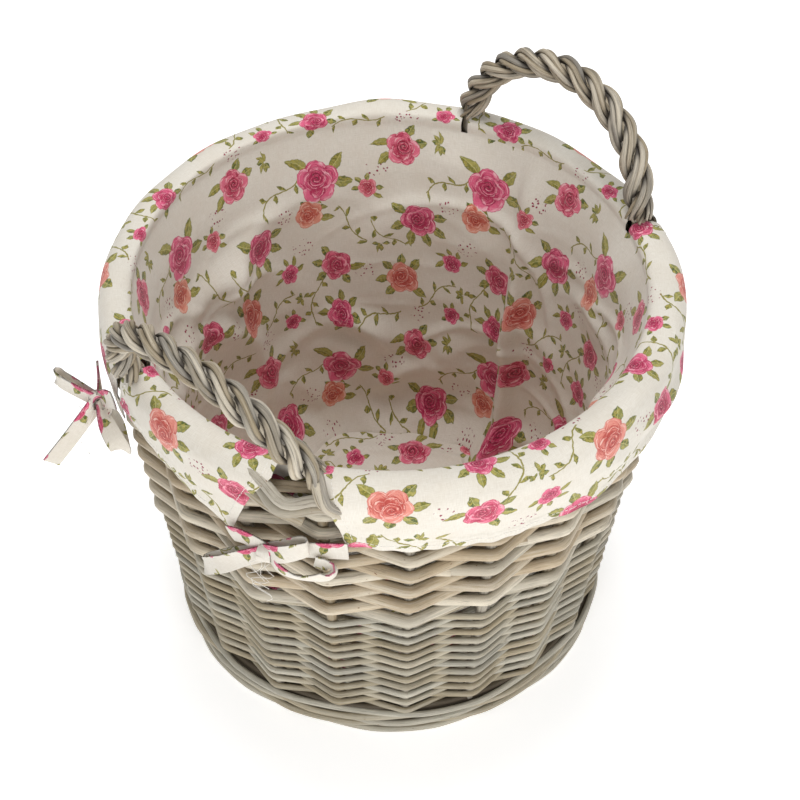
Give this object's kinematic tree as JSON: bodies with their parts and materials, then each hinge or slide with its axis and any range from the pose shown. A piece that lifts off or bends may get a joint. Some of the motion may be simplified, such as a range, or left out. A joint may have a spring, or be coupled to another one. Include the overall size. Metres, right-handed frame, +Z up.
{
  "type": "sewing basket",
  "caption": "Round open willow basket that widens to the rim, with a removable printed cotton liner folded over the edge and a rope-twist handle on each side.",
  "frame": {"origin": "centre of the foot's underside, on the surface the basket stands on", "axes": "+Z up; +X through the right handle, the left handle being on -X; +Y to the back"},
  "size_m": [0.4197, 0.416, 0.3955],
  "materials": {
    "stake_willow": "washed willow, matt, with knots",
    "fine_willow": "antique-washed thin willow rods, matt",
    "coarse_willow": "antique-washed thick willow rods, satin highlights",
    "base_willow": "washed willow, matt",
    "handle_willow": "grey-washed twisted thin rods, dark in the grooves",
    "printed_cotton": "flecked natural cotton-linen, plain weave, printed with small roses"
  },
  "bodies": {
    "root": {"base_stick_1": "base_willow", "base_stick_2": "base_willow", "base_stick_3": "base_willow", "base_stick_4": "base_willow", "base_stick_5": "base_willow", "base_weave": "base_willow", "coarse_rows_1": "coarse_willow", "coarse_rows_2": "coarse_willow", "coarse_rows_3": "coarse_willow", "coarse_rows_4": "coarse_willow", "coarse_rows_5": "coarse_willow", "coarse_rows_6": "coarse_willow", "coarse_rows_7": "coarse_willow", "fine_rows_1": "fine_willow", "fine_rows_2": "fine_willow", "fine_rows_3": "fine_willow", "fine_rows_4": "fine_willow", "fine_rows_5": "fine_willow", "fine_rows_6": "fine_willow", "foot_wale": "coarse_willow", "inner_wale": "base_willow", "left_handle_core": "handle_willow", "left_handle_strand_1": "handle_willow", "left_handle_strand_2": "handle_willow", "left_handle_strand_3": "handle_willow", "liner_back_cuff": "printed_cotton", "liner_front_cuff": "printed_cotton", "liner_left_tongue": "printed_cotton", "liner_pocket": "printed_cotton", "liner_right_tongue": "printed_cotton", "right_handle_core": "handle_willow", "right_handle_strand_1": "handle_willow", "right_handle_strand_2": "handle_willow", "right_handle_strand_3": "handle_willow", "stake_01": "stake_willow", "stake_02": "stake_willow", "stake_03": "stake_willow", "stake_04": "stake_willow", "stake_05": "stake_willow", "stake_06": "stake_willow", "stake_07": "stake_willow", "stake_08": "stake_willow", "stake_09": "stake_willow", "stake_10": "stake_willow", "stake_11": "stake_willow", "stake_12": "stake_willow", "stake_13": "stake_willow", "stake_14": "stake_willow", "stake_15": "stake_willow", "stake_16": "stake_willow", "stake_17": "stake_willow", "stake_18": "stake_willow", "stake_19": "stake_willow", "stake_20": "stake_willow", "tie_bow_left_back": "printed_cotton", "tie_bow_left_front": "printed_cotton", "tie_bow_right_back": "printed_cotton", "tie_bow_right_front": "printed_cotton"}
  },
  "joints": []
}
